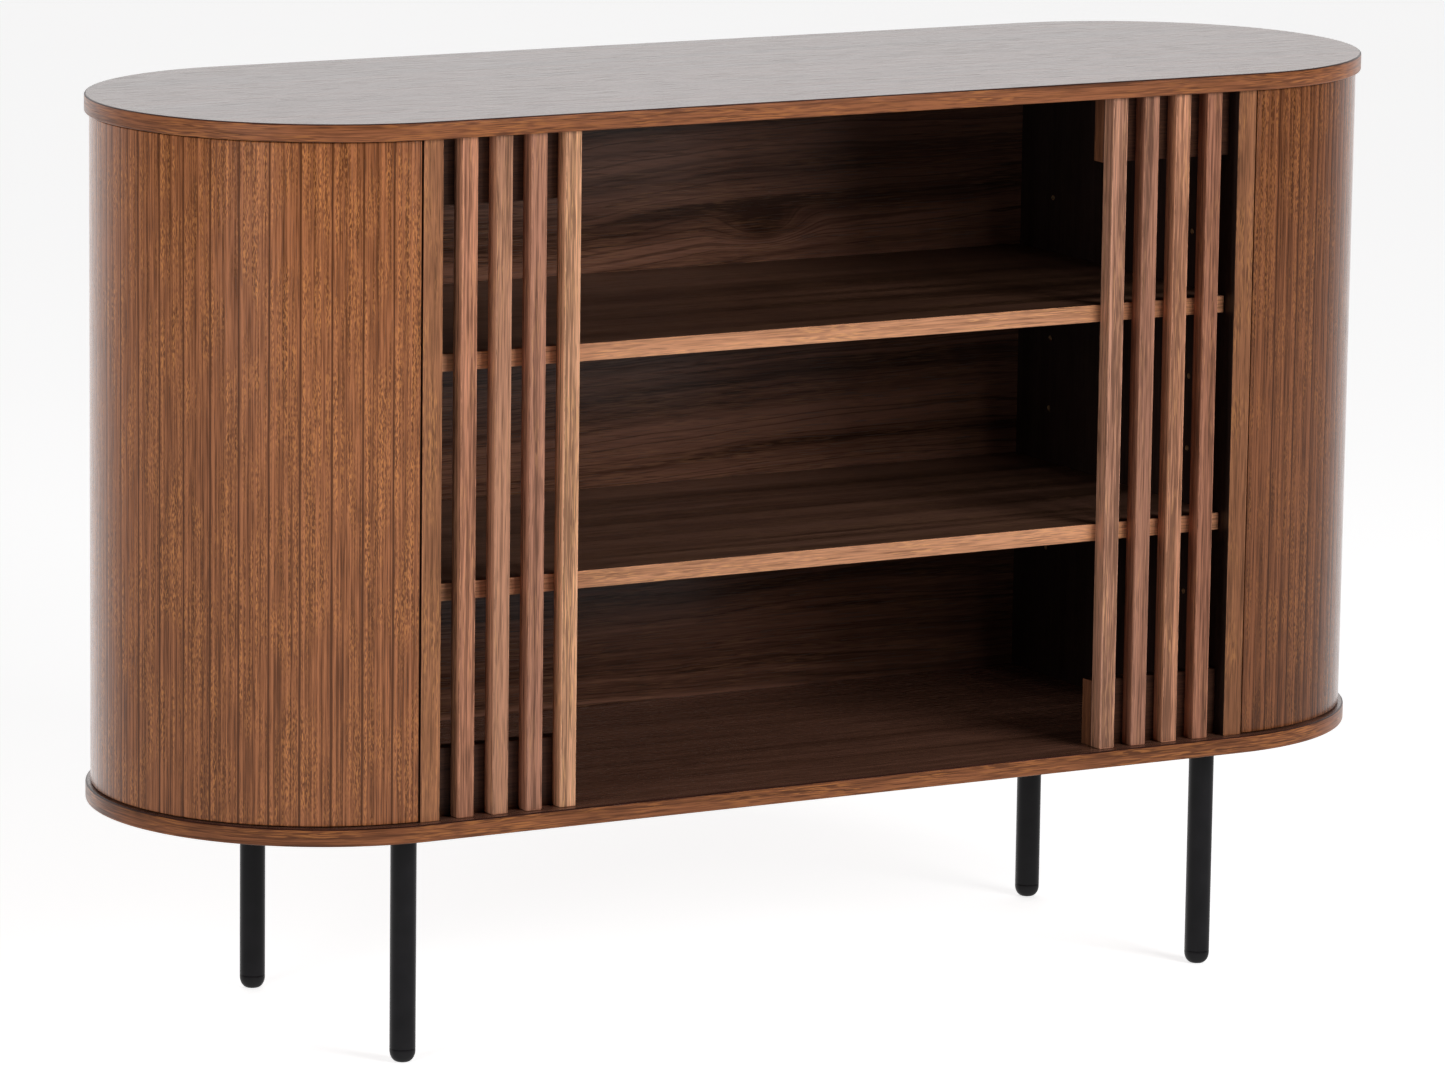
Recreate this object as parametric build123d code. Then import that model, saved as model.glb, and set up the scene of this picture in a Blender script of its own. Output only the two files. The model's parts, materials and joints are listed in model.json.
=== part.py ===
"""Media cabinet: a stadium-shaped sideboard with curved ends, slatted front screens,
two adjustable shelves and four round metal legs.

Millimetres. The origin is on the floor under the middle of the cabinet.
+X runs along the width, the front faces -Y and +Z is up.
"""
import os

from build123d import *

# Overall size
WIDTH = 1200
DEPTH = 400
HEIGHT = 800
LEG_HEIGHT = 200

# Boards
BOARD = 15
PARTITION_THICKNESS = 18
BACK_THICKNESS = 5
SHELL_THICKNESS = 9
EDGE_ROUND = 1.5
SMALL_ROUND = 1.0

# Set-back of the carcass inside the edge of the top and bottom panels
FRONT_SETBACK = 8
END_SETBACK = 4

# Partitions and back panel
PARTITION_INNER_X = 386
BACK_INNER_Y = 164
GROOVE_DEPTH = 6

# Slatted screens
SLATS_PER_SIDE = 4
SLAT_WIDTH = 15
SLAT_DEPTH = 15
SLAT_PITCH = 32
RAIL_THICKNESS = 15
RAIL_HEIGHT = 58

# Adjustable shelves, counted in rows of support holes from the bottom row
HOLE_ROWS = 6
HOLE_PITCH = 64
FIRST_HOLE_ABOVE_FLOOR_PANEL = 117.5
LOWER_SHELF_ROW = 1
UPPER_SHELF_ROW = 4
SHELF_CLEARANCE = 0.5
SHELF_REST_GAP = 0.3
PIN_INSET = 55
PIN_DIAMETER = 5
PIN_LENGTH_IN = 9
PIN_LENGTH_OUT = 9
HOLE_EXTRA_DEPTH = 1

# Legs
LEG_DIAMETER = 22
LEG_WALL = 1.5
LEG_INSET_X = 205
LEG_INSET_Y = 56
FOOT_DOME_HEIGHT = 10
FOOT_SKIRT = 2
FOOT_FLAT_DIAMETER = 8
FOOT_PLUG_LENGTH = 14
PLATE_SIZE = 60
PLATE_THICKNESS = 3
PLATE_CORNER = 6
PLATE_SCREW_SPACING = 36

# End frames inside the curved shells
FORMER_THICKNESS = 15
BATTEN_SIZE = 18

# Fasteners: head diameter, shank diameter, overall length
PLATE_SCREW = (8, 4, 15)
SLAT_SCREW = (7, 3.5, 25)
CARCASS_SCREW = (10, 7, 50)
CARCASS_DOWEL = (8, 30)
RAIL_DOWEL = (6, 24)
CARCASS_FASTENER_Y = (-90, 0, 90)
DOWEL_DEPTH_IN_PANEL = 10

# Heights and depths worked out from the sizes above
FLOOR_PANEL_TOP = LEG_HEIGHT + BOARD
TOP_PANEL_UNDERSIDE = HEIGHT - BOARD
INNER_HEIGHT = TOP_PANEL_UNDERSIDE - FLOOR_PANEL_TOP
MID_HEIGHT = (TOP_PANEL_UNDERSIDE + FLOOR_PANEL_TOP) / 2
FRONT_Y = -(DEPTH / 2 - FRONT_SETBACK)
REAR_Y = -FRONT_Y
SLAT_BACK_Y = FRONT_Y + SLAT_DEPTH
RAIL_BACK_Y = SLAT_BACK_Y + RAIL_THICKNESS
PARTITION_OUTER_X = PARTITION_INNER_X + PARTITION_THICKNESS
SHELL_RADIUS = REAR_Y
SHELL_CENTRE_X = WIDTH / 2 - END_SETBACK - SHELL_RADIUS
RAIL_LENGTH = SLATS_PER_SIDE * SLAT_PITCH
RAIL_CENTRE_X = PARTITION_INNER_X - RAIL_LENGTH / 2
RAIL_CENTRE_Y = (SLAT_BACK_Y + RAIL_BACK_Y) / 2
SHELF_FRONT_Y = SLAT_BACK_Y + SHELF_CLEARANCE
SHELF_BACK_Y = BACK_INNER_Y - SHELF_CLEARANCE
PIN_FRONT_Y = SLAT_BACK_Y + PIN_INSET
PIN_REAR_Y = BACK_INNER_Y - PIN_INSET
LEG_X = WIDTH / 2 - LEG_INSET_X
LEG_Y = DEPTH / 2 - LEG_INSET_Y

SIDES = {"left": -1, "right": 1}
ENDS = {"front": -1, "rear": 1}
LEVELS = {"top": 1, "bottom": -1}


def block(x_range, y_range, z_range):
    """A square-edged board between two corners."""
    size = [high - low for low, high in (x_range, y_range, z_range)]
    middle = [(low + high) / 2 for low, high in (x_range, y_range, z_range)]
    return Pos(*middle) * Box(*size)


def ordered(a, b):
    """A range with the lower value first."""
    return (min(a, b), max(a, b))


def hole_height(row):
    """Height of one row of shelf support holes."""
    return FLOOR_PANEL_TOP + FIRST_HOLE_ABOVE_FLOOR_PANEL + row * HOLE_PITCH


def pointed_up(shape, x, y, z):
    """Place a fastener that was made along +Z."""
    return Pos(x, y, z) * shape


def pointed_forward(shape, x, y, z):
    """Place a fastener that was made along +Z so that it runs along -Y."""
    return Pos(x, y, z) * Rot(90, 0, 0) * shape


def pointed_out(shape, side, x, y, z):
    """Place a fastener that was made along +Z so that it runs out from the middle."""
    return Pos(x, y, z) * Rot(0, side * 90, 0) * shape


def countersunk_screw(head_diameter, shank_diameter, length):
    """A screw that points up, with its flat head at the origin."""
    head_height = (head_diameter - shank_diameter) / 2
    tip_height = shank_diameter / 2
    profile = Polyline(
        (0, 0),
        (head_diameter / 2, 0),
        (shank_diameter / 2, head_height),
        (shank_diameter / 2, length - tip_height),
        (0, length),
        close=True,
    )
    return revolve(Plane.XZ * make_face(profile), axis=Axis.Z)


def dowel(diameter, length):
    """A glued wooden dowel with chamfered ends, from the origin upwards."""
    peg = Pos(0, 0, length / 2) * Cylinder(diameter / 2, length)
    return chamfer(peg.edges().filter_by(GeomType.CIRCLE), diameter / 8)


def carcass_fasteners(side):
    """The screws from below and the dowels above that hold one partition."""
    x = side * (PARTITION_INNER_X + PARTITION_OUTER_X) / 2
    dowel_start = TOP_PANEL_UNDERSIDE + DOWEL_DEPTH_IN_PANEL - CARCASS_DOWEL[1]
    screws = [pointed_up(countersunk_screw(*CARCASS_SCREW), x, y, LEG_HEIGHT) for y in CARCASS_FASTENER_Y]
    dowels = [pointed_up(dowel(*CARCASS_DOWEL), x, y, dowel_start) for y in CARCASS_FASTENER_Y]
    return screws, dowels


def rail_dowels(side, level):
    """Two dowels that join one rail to the panel above or below it."""
    into_rail = RAIL_DOWEL[1] - DOWEL_DEPTH_IN_PANEL
    if level > 0:
        start = TOP_PANEL_UNDERSIDE - into_rail
    else:
        start = FLOOR_PANEL_TOP - DOWEL_DEPTH_IN_PANEL
    peg = dowel(*RAIL_DOWEL)
    spread = SLAT_PITCH
    return [
        pointed_up(peg, side * RAIL_CENTRE_X + offset, RAIL_CENTRE_Y, start) for offset in (-spread, spread)
    ]


def slat_x(side, number):
    """Middle of a slat; number 1 is the slat nearest the partition."""
    return side * (PARTITION_INNER_X - number * SLAT_PITCH + SLAT_WIDTH / 2)


def rail_height_middle(level):
    """Middle height of the top or bottom rail."""
    return MID_HEIGHT + level * (INNER_HEIGHT - RAIL_HEIGHT) / 2


def slat_screws(side, level):
    """Screws through the back of one rail, one into each slat."""
    screw = countersunk_screw(*SLAT_SCREW)
    return [
        pointed_forward(screw, slat_x(side, number), RAIL_BACK_Y, rail_height_middle(level))
        for number in range(1, SLATS_PER_SIDE + 1)
    ]


def plate_screws(side, end):
    """Four screws through one leg plate into the bottom panel."""
    screw = countersunk_screw(*PLATE_SCREW)
    half = PLATE_SCREW_SPACING / 2
    return [
        pointed_up(screw, side * LEG_X + dx, end * LEG_Y + dy, LEG_HEIGHT - PLATE_THICKNESS)
        for dx in (-half, half)
        for dy in (-half, half)
    ]


def shelf_pin(side, y, z):
    """A support pin: round in the partition, flat on top where the shelf lies."""
    overall = PIN_LENGTH_IN + PIN_LENGTH_OUT
    peg = Cylinder(PIN_DIAMETER / 2, overall)
    peg = fillet(peg.edges().filter_by(GeomType.CIRCLE), PIN_DIAMETER / 10)
    start = side * (PARTITION_INNER_X - PIN_LENGTH_OUT)
    peg = pointed_out(Pos(0, 0, overall / 2) * peg, side, start, y, z)
    above_flat = block(
        ordered(side * PARTITION_INNER_X, side * (PARTITION_INNER_X - 2 * PIN_LENGTH_OUT)),
        (y - PIN_DIAMETER, y + PIN_DIAMETER),
        (z, z + PIN_DIAMETER),
    )
    return peg - above_flat


def shelf_pins(row):
    """The four pins under one shelf."""
    z = hole_height(row)
    return [shelf_pin(side, y, z) for side in SIDES.values() for y in (PIN_FRONT_Y, PIN_REAR_Y)]


def stadium_panel(bottom_z):
    """The outline that the top and bottom panels share, with rounded rims."""
    panel = Pos(0, 0, bottom_z) * extrude(SlotOverall(WIDTH, DEPTH), amount=BOARD)
    rims = panel.edges().filter_by(lambda edge: abs(edge.center().Z - (bottom_z + BOARD / 2)) > 1)
    return fillet(rims, EDGE_ROUND)


def back_panel():
    """Thin back that sits in grooves in the partitions and in both panels."""
    half_width = PARTITION_INNER_X + GROOVE_DEPTH
    return block(
        (-half_width, half_width),
        (BACK_INNER_Y, BACK_INNER_Y + BACK_THICKNESS),
        (FLOOR_PANEL_TOP - GROOVE_DEPTH, TOP_PANEL_UNDERSIDE + GROOVE_DEPTH),
    )


def top_panel():
    """Top board with the back groove and blind dowel holes underneath."""
    panel = stadium_panel(TOP_PANEL_UNDERSIDE) - back_panel()
    for side in SIDES.values():
        for peg in carcass_fasteners(side)[1] + rail_dowels(side, 1):
            panel -= peg
    return panel


def bottom_panel():
    """Bottom board with the back groove, screw holes and blind dowel holes."""
    panel = stadium_panel(LEG_HEIGHT) - back_panel()
    for side in SIDES.values():
        cutters = carcass_fasteners(side)[0] + rail_dowels(side, -1)
        for end in ENDS.values():
            cutters += plate_screws(side, end)
        for cutter in cutters:
            panel -= cutter
    return panel


def partition(side):
    """Full-depth upright board with the back groove and the shelf support holes."""
    board = block(
        ordered(side * PARTITION_INNER_X, side * PARTITION_OUTER_X),
        (FRONT_Y, REAR_Y),
        (FLOOR_PANEL_TOP, TOP_PANEL_UNDERSIDE),
    )
    corners = board.edges().filter_by(Axis.Z).filter_by(lambda edge: abs(edge.center().X) < PARTITION_OUTER_X - 1)
    board = fillet(corners, SMALL_ROUND)
    board -= back_panel()
    screws, dowels = carcass_fasteners(side)
    for cutter in screws + dowels:
        board -= cutter
    depth = PIN_LENGTH_IN + HOLE_EXTRA_DEPTH
    hole = Pos(0, 0, depth / 2) * Cylinder(PIN_DIAMETER / 2, depth)
    for row in range(HOLE_ROWS):
        for y in (PIN_FRONT_Y, PIN_REAR_Y):
            board -= pointed_out(hole, side, side * PARTITION_INNER_X, y, hole_height(row))
    return board


def half_round(radius, bottom_z, height):
    """A half disc whose flat side faces the middle of the cabinet, on the right-hand end."""
    disc = Pos(SHELL_CENTRE_X, 0, bottom_z + height / 2) * Cylinder(radius, height)
    keep = block(
        (PARTITION_OUTER_X, WIDTH),
        (-DEPTH, DEPTH),
        (bottom_z - 1, bottom_z + height + 1),
    )
    return disc & keep


def to_side(side, shape):
    """Copy a right-hand piece to the asked side."""
    if side > 0:
        return shape
    return mirror(shape, about=Plane.YZ)


def curved_end(side):
    """Bent board that wraps one end from the front of the partition to its rear."""
    outer = half_round(SHELL_RADIUS, FLOOR_PANEL_TOP, INNER_HEIGHT)
    inner = half_round(SHELL_RADIUS - SHELL_THICKNESS, FLOOR_PANEL_TOP - 1, INNER_HEIGHT + 2)
    return to_side(side, outer - inner)


def end_former(side, level):
    """Half-round board that the curved end is glued around, at its top or its foot."""
    radius = SHELL_RADIUS - SHELL_THICKNESS
    if level > 0:
        bottom_z = TOP_PANEL_UNDERSIDE - FORMER_THICKNESS
    else:
        bottom_z = FLOOR_PANEL_TOP
    return to_side(side, half_round(radius, bottom_z, FORMER_THICKNESS))


def end_batten(side, end):
    """Upright strip in the corner between a partition and the edge of the curved end."""
    strip = block(
        (PARTITION_OUTER_X, PARTITION_OUTER_X + BATTEN_SIZE),
        ordered(end * (SHELL_RADIUS - SHELL_THICKNESS - BATTEN_SIZE), end * SHELL_RADIUS),
        (FLOOR_PANEL_TOP + FORMER_THICKNESS, TOP_PANEL_UNDERSIDE - FORMER_THICKNESS),
    )
    inside = half_round(SHELL_RADIUS - SHELL_THICKNESS, FLOOR_PANEL_TOP, INNER_HEIGHT)
    return to_side(side, strip & inside)


def shelf(row):
    """Adjustable board that lies on four pins."""
    half_width = PARTITION_INNER_X - SHELF_CLEARANCE
    bottom_z = hole_height(row) + SHELF_REST_GAP
    board = block(
        (-half_width, half_width),
        (SHELF_FRONT_Y, SHELF_BACK_Y),
        (bottom_z, bottom_z + BOARD),
    )
    front_edges = board.edges().filter_by(Axis.X).sort_by(Axis.Y)[:2]
    return fillet(front_edges, SMALL_ROUND)


def slat(side, number):
    """Upright square slat with softened corners, screwed on from behind."""
    centre = slat_x(side, number)
    bar = block(
        (centre - SLAT_WIDTH / 2, centre + SLAT_WIDTH / 2),
        (FRONT_Y, SLAT_BACK_Y),
        (FLOOR_PANEL_TOP, TOP_PANEL_UNDERSIDE),
    )
    bar = fillet(bar.edges().filter_by(Axis.Z), SMALL_ROUND)
    for level in LEVELS.values():
        bar -= slat_screws(side, level)[number - 1]
    return bar


def rail(side, level):
    """Short board behind the slats that ties them together."""
    middle_z = rail_height_middle(level)
    board = block(
        ordered(side * PARTITION_INNER_X, side * (PARTITION_INNER_X - RAIL_LENGTH)),
        (SLAT_BACK_Y, RAIL_BACK_Y),
        (middle_z - RAIL_HEIGHT / 2, middle_z + RAIL_HEIGHT / 2),
    )
    free_end = board.edges().filter_by(Axis.Z).filter_by(lambda edge: abs(edge.center().X) < PARTITION_INNER_X - 1)
    board = fillet(free_end, SMALL_ROUND)
    for cutter in slat_screws(side, level) + rail_dowels(side, level):
        board -= cutter
    return board


def leg_tube(side, end):
    """Round steel tube from the foot cap to the plate."""
    bottom_z = FOOT_DOME_HEIGHT + FOOT_SKIRT
    length = LEG_HEIGHT - PLATE_THICKNESS - bottom_z
    tube = Cylinder(LEG_DIAMETER / 2, length) - Cylinder(LEG_DIAMETER / 2 - LEG_WALL, length)
    return Pos(side * LEG_X, end * LEG_Y, bottom_z + length / 2) * tube


def foot_cap(side, end):
    """Domed plastic foot with a small flat, and a plug that fills the tube's end."""
    radius = LEG_DIAMETER / 2
    plug_radius = radius - LEG_WALL
    shoulder = FOOT_DOME_HEIGHT + FOOT_SKIRT
    flat = FOOT_FLAT_DIAMETER / 2
    dome = Spline((flat, 0), (radius, FOOT_DOME_HEIGHT), tangents=[(1, 0.12), (0, 1)])
    outline = Polyline(
        (radius, FOOT_DOME_HEIGHT),
        (radius, shoulder),
        (plug_radius, shoulder),
        (plug_radius, shoulder + FOOT_PLUG_LENGTH),
        (0, shoulder + FOOT_PLUG_LENGTH),
        (0, 0),
        (flat, 0),
    )
    cap = revolve(Plane.XZ * make_face(dome + outline), axis=Axis.Z)
    return Pos(side * LEG_X, end * LEG_Y, 0) * cap


def leg_plate(side, end):
    """Square steel plate welded to the leg and screwed under the bottom panel."""
    plate = extrude(RectangleRounded(PLATE_SIZE, PLATE_SIZE, PLATE_CORNER), amount=PLATE_THICKNESS)
    plate = Pos(side * LEG_X, end * LEG_Y, LEG_HEIGHT - PLATE_THICKNESS) * plate
    for screw in plate_screws(side, end):
        plate -= screw
    return plate


def save(name, solids):
    """Write one node; a list becomes a group of separate solids."""
    shape = solids
    if isinstance(solids, list):
        shape = Compound(children=[piece.solid() for piece in solids])
    shape.label = name
    export_step(shape, os.path.join("parts", name + ".step"))


def main():
    os.makedirs("parts", exist_ok=True)
    save("top_panel", top_panel())
    save("bottom_panel", bottom_panel())
    save("back_panel", back_panel())
    save("upper_shelf", shelf(UPPER_SHELF_ROW))
    save("lower_shelf", shelf(LOWER_SHELF_ROW))
    save("upper_shelf_pins", shelf_pins(UPPER_SHELF_ROW))
    save("lower_shelf_pins", shelf_pins(LOWER_SHELF_ROW))

    all_carcass_screws = []
    all_carcass_dowels = []
    all_rail_dowels = []
    all_slat_screws = []
    all_plate_screws = []
    for side_name, side in SIDES.items():
        save(side_name + "_partition", partition(side))
        save(side_name + "_curved_end", curved_end(side))
        screws, dowels = carcass_fasteners(side)
        all_carcass_screws += screws
        all_carcass_dowels += dowels
        for number in range(1, SLATS_PER_SIDE + 1):
            save(f"{side_name}_slat_{number}", slat(side, number))
        for level_name, level in LEVELS.items():
            save(f"{side_name}_{level_name}_rail", rail(side, level))
            save(f"{side_name}_{level_name}_former", end_former(side, level))
            all_rail_dowels += rail_dowels(side, level)
            all_slat_screws += slat_screws(side, level)
        for end_name, end in ENDS.items():
            save(f"{end_name}_{side_name}_leg", leg_tube(side, end))
            save(f"{end_name}_{side_name}_foot_cap", foot_cap(side, end))
            save(f"{end_name}_{side_name}_leg_plate", leg_plate(side, end))
            save(f"{side_name}_{end_name}_batten", end_batten(side, end))
            all_plate_screws += plate_screws(side, end)

    save("carcass_screws", all_carcass_screws)
    save("carcass_dowels", all_carcass_dowels)
    save("rail_dowels", all_rail_dowels)
    save("slat_screws", all_slat_screws)
    save("leg_plate_screws", all_plate_screws)


main()
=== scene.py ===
"""Looks of the media cabinet: bevelled boards, veneers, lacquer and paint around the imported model.

Metres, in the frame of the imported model: the origin is on the floor under the middle of the
cabinet, +X runs along the width, the front faces -Y and +Z is up.
"""

import json
import math
import random

import bmesh
import bpy
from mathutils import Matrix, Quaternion, Vector


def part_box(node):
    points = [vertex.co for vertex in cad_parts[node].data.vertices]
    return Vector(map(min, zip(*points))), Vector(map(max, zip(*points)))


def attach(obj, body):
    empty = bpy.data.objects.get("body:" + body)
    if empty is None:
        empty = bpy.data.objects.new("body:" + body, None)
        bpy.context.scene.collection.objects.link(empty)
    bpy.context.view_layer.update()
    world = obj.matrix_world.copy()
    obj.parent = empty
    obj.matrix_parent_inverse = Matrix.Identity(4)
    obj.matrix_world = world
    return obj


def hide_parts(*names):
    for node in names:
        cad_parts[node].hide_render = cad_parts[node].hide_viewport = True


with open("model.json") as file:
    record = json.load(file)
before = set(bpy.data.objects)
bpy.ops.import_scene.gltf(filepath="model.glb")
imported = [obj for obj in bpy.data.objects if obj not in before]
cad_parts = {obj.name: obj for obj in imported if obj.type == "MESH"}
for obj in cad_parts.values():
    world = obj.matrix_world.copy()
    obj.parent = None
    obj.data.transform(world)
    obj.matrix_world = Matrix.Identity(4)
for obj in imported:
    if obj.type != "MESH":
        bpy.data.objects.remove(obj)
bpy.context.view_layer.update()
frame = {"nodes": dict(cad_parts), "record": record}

MM = 0.001
SIDES = {"left": -1, "right": 1}
ENDS = ("front", "rear")
LEVELS = ("top", "bottom")
SLAT_NUMBERS = (1, 2, 3, 4)

# Mesh steps: along a half-round end, round a rim, a shell corner, a foot dome, a foot and a hole
ARC_STEPS = 96
RIM_STEPS = 4
CORNER_STEPS = 3
DOME_STEPS = 12
TURN_STEPS = 64
HOLE_SEGMENTS = 24

# Edge roundings
RIM_ROUND = 1.5 * MM
BOARD_ROUND = 0.8 * MM
SLAT_ROUND = 1.1 * MM
SHELL_ROUND = 0.9 * MM

# The curved ends stand a hair off the panels and partitions, which shows as a shadow line
SHELL_THICKNESS = 9 * MM
SHELL_GAP = 1.1 * MM
SEAM_GAPS = {"left": 1.7 * MM, "right": 0.9 * MM}

# Width after which the pattern of the reconstituted veneer starts again
VENEER_REPEAT = 25.8 * MM

# A dark painted shade line along the upper rounding of a panel's rim takes the top rows of faces of the
# rim
RIM_SHADE_ROWS = 3

# How far out on an endless sheet of veneer a board may be cut, and the step between its faces
SHEET_REACH = 20.0
FACE_SHIFT = 0.37

# Shelf support holes in the partitions
HOLE_DIAMETER = 5 * MM
HOLE_DEPTH = 8 * MM
HOLE_PITCH = 64 * MM
HOLE_ROWS = 6
LOWER_SHELF_ROW = 1

# Foot caps: the flat they stand on, the height of the dome and the step where the tube begins
FOOT_FLAT = 4 * MM
FOOT_DOME = 10 * MM
FOOT_STEP = 0.35 * MM


# ---------------------------------------------------------------- colours and node graphs

def tone(red, green, blue):
    """A display colour, 0 to 255, as a linear colour with alpha."""
    def linear(value):
        value /= 255
        if value <= 0.04045:
            return value / 12.92
        return ((value + 0.055) / 1.055) ** 2.4
    return (linear(red), linear(green), linear(blue), 1.0)


def scaled(colour, factor, warmth=1.0):
    """A darker or lighter version of a linear colour; warmth above 1 takes blue out."""
    red, green, blue, _ = colour
    return (red * factor, green * factor / math.sqrt(warmth), blue * factor / warmth, 1.0)


def golden(colour, factor):
    """A lighter version of a linear colour that leans to yellow."""
    red, green, blue, _ = colour
    return (red * factor, green * factor * 1.06, blue * factor * 0.78, 1.0)


class Graph:
    """Short ways to build the nodes of one material."""

    def __init__(self, name):
        self.material = bpy.data.materials.new(name)
        self.material.use_nodes = True
        self.tree = self.material.node_tree
        self.shader = self.tree.nodes["Principled BSDF"]

    def feed(self, socket, value):
        """Link a socket, or set it to a constant."""
        if isinstance(value, bpy.types.NodeSocket):
            self.tree.links.new(value, socket)
        else:
            socket.default_value = value

    def node(self, kind, inputs=None, **settings):
        made = self.tree.nodes.new(kind)
        for key, value in settings.items():
            setattr(made, key, value)
        for key, value in (inputs or {}).items():
            self.feed(made.inputs[key], value)
        return made

    def math(self, operation, a, b=0.0):
        return self.node("ShaderNodeMath", {0: a, 1: b}, operation=operation).outputs[0]

    def add(self, a, b):
        return self.math("ADD", a, b)

    def times(self, a, b):
        return self.math("MULTIPLY", a, b)

    def centred(self, value, width):
        """A 0 to 1 value as an offset of plus or minus half the width."""
        return self.times(self.math("SUBTRACT", value, 0.5), width)

    def weighted(self, *pairs):
        """Sum of values times their weights."""
        total = self.times(*pairs[0])
        for value, weight in pairs[1:]:
            total = self.add(total, self.times(value, weight))
        return total

    def combine(self, x, y, z=0.0):
        return self.node("ShaderNodeCombineXYZ", {0: x, 1: y, 2: z}).outputs[0]

    def noise(self, vector, detail=2.0, roughness=0.5, scale=1.0):
        made = self.node(
            "ShaderNodeTexNoise",
            {"Vector": vector, "Scale": scale, "Detail": detail, "Roughness": roughness},
            noise_dimensions="3D",
        )
        return made.outputs["Fac"]

    def ramp(self, factor, *stops):
        made = self.node("ShaderNodeValToRGB", {"Fac": factor})
        elements = made.color_ramp.elements
        while len(elements) < len(stops):
            elements.new(0.5)
        for element, (place, colour) in zip(elements, stops):
            element.position = place
            element.color = colour
        return made.outputs["Color"]

    def window(self, factor, low, high):
        """Zero below low, one above high, smooth between; low above high turns it round."""
        upside_down = low > high
        made = self.node(
            "ShaderNodeMapRange",
            {"Value": factor, "From Min": min(low, high), "From Max": max(low, high),
             "To Min": float(upside_down), "To Max": float(not upside_down)},
            interpolation_type="SMOOTHSTEP",
        )
        return made.outputs["Result"]

    def mix(self, factor, a, b):
        made = self.node("ShaderNodeMix", data_type="RGBA")
        self.feed(made.inputs[0], factor)
        self.feed(made.inputs[6], a)
        self.feed(made.inputs[7], b)
        return made.outputs[2]

    def uv(self):
        """Across the grain and along it, in metres."""
        split = self.node("ShaderNodeSeparateXYZ", {0: self.node("ShaderNodeTexCoord").outputs["UV"]})
        return split.outputs[0], split.outputs[1]

    def bump(self, height, distance, strength):
        made = self.node("ShaderNodeBump", {"Height": height, "Distance": distance, "Strength": strength})
        self.feed(self.shader.inputs["Normal"], made.outputs["Normal"])

    def finish(self, colour, roughness, **constants):
        self.feed(self.shader.inputs["Base Color"], colour)
        self.feed(self.shader.inputs["Roughness"], roughness)
        for key, value in constants.items():
            self.shader.inputs[key.replace("_", " ")].default_value = value
        return self.material


# ---------------------------------------------------------------- wood

class Grain:
    """Layers of wood grain on one graph, each from 0 to 1, in metres across and along the grain."""

    def __init__(self, graph, wander):
        self.graph = graph
        self.across, self.along = graph.uv()
        drift = graph.noise(
            graph.combine(graph.times(self.across, 9.0), graph.times(self.along, 2.2)), detail=2.0
        )
        self.wavy = graph.add(self.across, graph.centred(drift, 2 * wander))

    def streaks(self, per_metre, stretch, shift, detail=2.0, roughness=0.5):
        """Noise drawn out along the grain; stretch is how fast it changes along it.

        shift picks another part of the same noise, so that two layers don't coincide.
        """
        graph = self.graph
        place = graph.combine(
            graph.times(self.wavy, per_metre), graph.times(self.along, per_metre * stretch), shift
        )
        return graph.noise(place, detail=detail, roughness=roughness)

    def rings(self, pitch, swirl, shift, knot=None):
        """Growth rings of a plain-sawn face, which follow the contours of a gently rolling surface.

        Gives uneven bands and the thin dark lines between them. knot is a place, a size and how far
        the rings bend round it.
        """
        graph = self.graph

        def roll(across_rate, along_rate, detail):
            place = graph.combine(
                graph.times(self.across, across_rate), graph.times(self.along, along_rate), shift
            )
            return graph.noise(place, detail=detail, roughness=0.45)

        level = graph.weighted(
            (self.across, 1 / pitch), (roll(4.2, 1.3, 1.0), swirl),
            (roll(15.0, 5.0, 2.0), swirl * 0.17), (roll(90.0, 20.0, 2.0), swirl * 0.010),
        )
        if knot:
            level = graph.add(level, graph.times(self.closeness(*knot[:4]), knot[4]))
        slow = graph.times(self.along, 0.7)
        band_place = graph.combine(graph.times(level, 0.85), slow, shift)
        bands = graph.noise(band_place, detail=3.0, roughness=0.62)
        line_place = graph.combine(graph.times(level, 1.25), slow, shift + 3.0)
        crossing = graph.noise(line_place, detail=1.0)
        distance = graph.math("ABSOLUTE", graph.math("SUBTRACT", crossing, 0.5))
        return bands, graph.window(distance, 0.035, 0.004)

    def closeness(self, across, along, width, length):
        """One at a place, falling to zero at the rim of an ellipse round it."""
        graph = self.graph
        sideways = graph.times(graph.math("SUBTRACT", self.across, across), 1 / width)
        lengthways = graph.times(graph.math("SUBTRACT", self.along, along), 1 / length)
        squares = graph.add(graph.times(sideways, sideways), graph.times(lengthways, lengthways))
        return graph.window(graph.math("SQRT", squares), 1.0, 0.0)

    def repeated(self, cells, rate, shift):
        """Stripes that start again at every repeat of a reconstituted veneer."""
        graph = self.graph
        radius = cells / (2 * math.pi)
        turn = graph.times(self.wavy, 2 * math.pi / VENEER_REPEAT)
        place = graph.combine(
            graph.times(graph.math("COSINE", turn), radius),
            graph.times(graph.math("SINE", turn), radius),
            graph.add(graph.times(self.along, rate), shift),
        )
        return graph.noise(place, detail=1.0, roughness=0.5)

    def repeat_profile(self):
        """How light the reconstituted veneer is across one repeat, from one glue joint to the next."""
        cell = self.graph.math("FRACT", self.graph.times(self.wavy, 1 / VENEER_REPEAT))
        stops = [(place, (level, level, level, 1.0)) for place, level in REPEAT_LEVELS]
        return self.graph.ramp(cell, *stops)


# Lightness at places across one repeat: a dark glue joint, one strong light line, one weak one
REPEAT_LEVELS = (
    (0.0, 0.02), (0.02, 0.08), (0.04, 0.44), (0.20, 0.50), (0.35, 0.50), (0.40, 0.95), (0.45, 0.50),
    (0.62, 0.44), (0.80, 0.50), (0.90, 0.82), (0.96, 0.44), (0.98, 0.10), (1.0, 0.04),
)


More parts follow.
